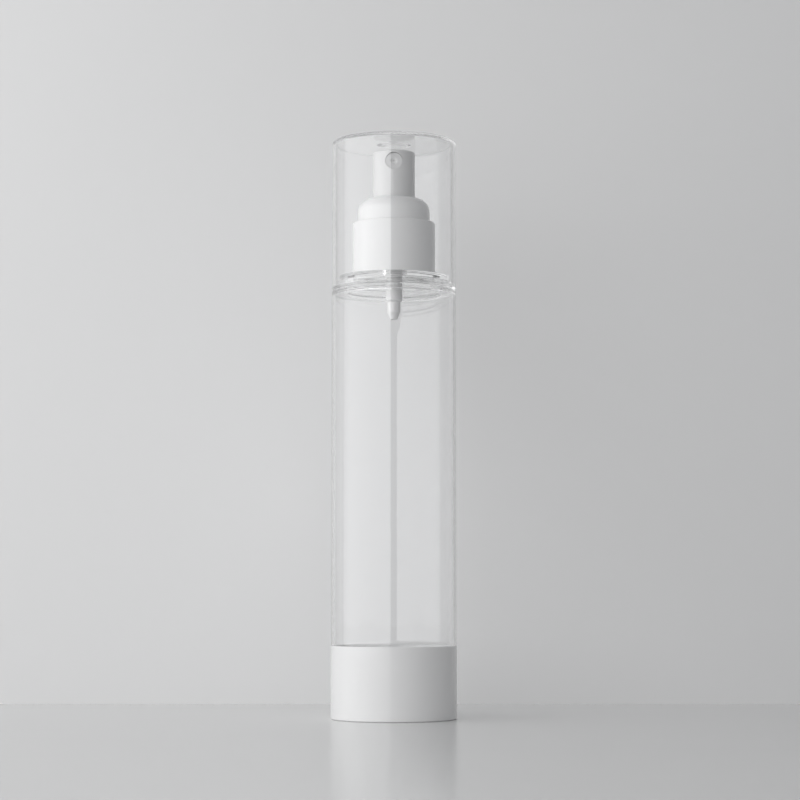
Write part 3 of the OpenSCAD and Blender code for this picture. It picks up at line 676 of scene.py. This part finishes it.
button = button_shell("button_cap", [
    (5.80, 166.85, 0.15), (BUTTON_R, 166.85, 0.15),
    *[(BUTTON_R, NOZZLE_Z + z) for z in np.linspace(-WINDOW_HALF, WINDOW_HALF, WINDOW + 1)],
    (BUTTON_R, 185.25, 0.50), (0.0, 185.25), (0.0, 177.98), (2.05, 177.98, 0.05),
    (2.05, 170.05, 0.20), (3.30, 170.05, 0.20), (3.30, 178.10, 0.30), (5.80, 178.10, 0.30)])
button_white = moulded("button_white", (0.66, 0.66, 0.66), roughness=0.03)
finish_piece(button, button_white, "head", "actuator")

# Spray insert
# Small white moulding pressed into the button's pocket and over its post: a flange with a bowl round
# the orifice, and a thin cup behind it.
FACE_Y = -6.25
insert_outline = rounded([
    (0.20, FACE_Y + 0.27), (0.70, FACE_Y + 0.20, 1.20), (1.15, FACE_Y, 0.40), (2.73, FACE_Y, 0.10),
    (2.73, FACE_Y + 0.90, 0.05), (2.30, FACE_Y + 0.90, 0.05), (2.30, FACE_Y + 2.80, 0.15),
    (1.15, FACE_Y + 2.80, 0.10), (1.15, FACE_Y + 0.72, 0.05), (0.20, FACE_Y + 0.72, 0.03)])


def laid_forward(name, points, faces, normals):
    """A turned piece laid on the nozzle's axis: (x, y, z) becomes (x, z, -y), raised to the nozzle."""
    lay = (1.0, 1.0, -1.0)
    points = points[:, [0, 2, 1]] * lay + (0.0, 0.0, NOZZLE_Z * MM)
    return new_piece(name, points, faces, [n[..., [0, 2, 1]] * lay for n in normals])


insert = laid_forward("spray_insert", *turned_arrays(*insert_outline, INNER_TURNS))
finish_piece(insert, button_white, "head", "nozzle_insert")

# Follower
# Milky polyethylene disc with two wiping lips; its crown fills the hollow under the platform when it
# reaches the top, and a well in its middle clears the pump's nose.
follower = turned("follower_disc", [
    (0.0, 8.20), (4.58, 8.20, 0.50), (4.58, 20.90, 0.30), (13.79, 20.90, 0.40), (13.79, 16.60, 0.40),
    (17.60, 16.60, 0.50), (17.60, 7.10, 0.20), (19.40, 7.10, 0.20), (19.40, 8.30, 0.20),
    (18.80, 8.90, 0.30), (18.80, 16.00, 0.30), (19.40, 16.60, 0.20), (19.40, 17.80, 0.20),
    (14.99, 17.80, 0.40), (14.99, 22.10, 0.50), (3.38, 22.10, 0.50), (3.38, 9.40, 0.50),
    (0.0, 9.40)])
finish_piece(follower, soft_white, "follower", "follower_piston")

# Base cup
# White cup that closes the bottom of the tube: side, floor with an air vent, an inner ring that the
# tube's end fits round, and a foot ring that stands on the table.
base_cup = turned("base_cup_shell", [
    (0.90, 1.20, 0.05), (16.10, 1.20, 0.30), (17.30, 0.00, 0.30), (20.50, 0.00, 0.50),
    (20.50, 23.60, 0.10), (20.00, 23.60, 0.10), (20.00, 2.80, 0.05), (19.40, 2.80, 0.05),
    (19.40, 6.80, 0.20), (18.20, 6.80, 0.20), (18.20, 2.80, 0.30), (0.90, 2.80, 0.05)])
finish_piece(base_cup, moulded("base_white", (0.82, 0.82, 0.82), roughness=0.03),
             "container", "base_cup")

# Overcap
# Clear cup moulded through a gate in the middle of its top, which leaves a flat boss inside. It
# slips over the seat ring and stands on the bottle's shoulder.
overcap = turned("overcap_clear", [
    (0.0, 187.25), (3.60, 187.25, 2.50), (5.60, 187.75, 2.50), (19.19, 187.75, 0.40),
    (19.19, 140.10, 0.20), (20.35, 140.10, 0.20), (20.35, 188.75, 0.80), (0.0, 188.75)],
    turns=CLEAR_TURNS)
finish_piece(overcap, clear_moulding("clear_cap", rim_radius=19.19, painted_rim_shade=0.20),
             "cap", "overcap")
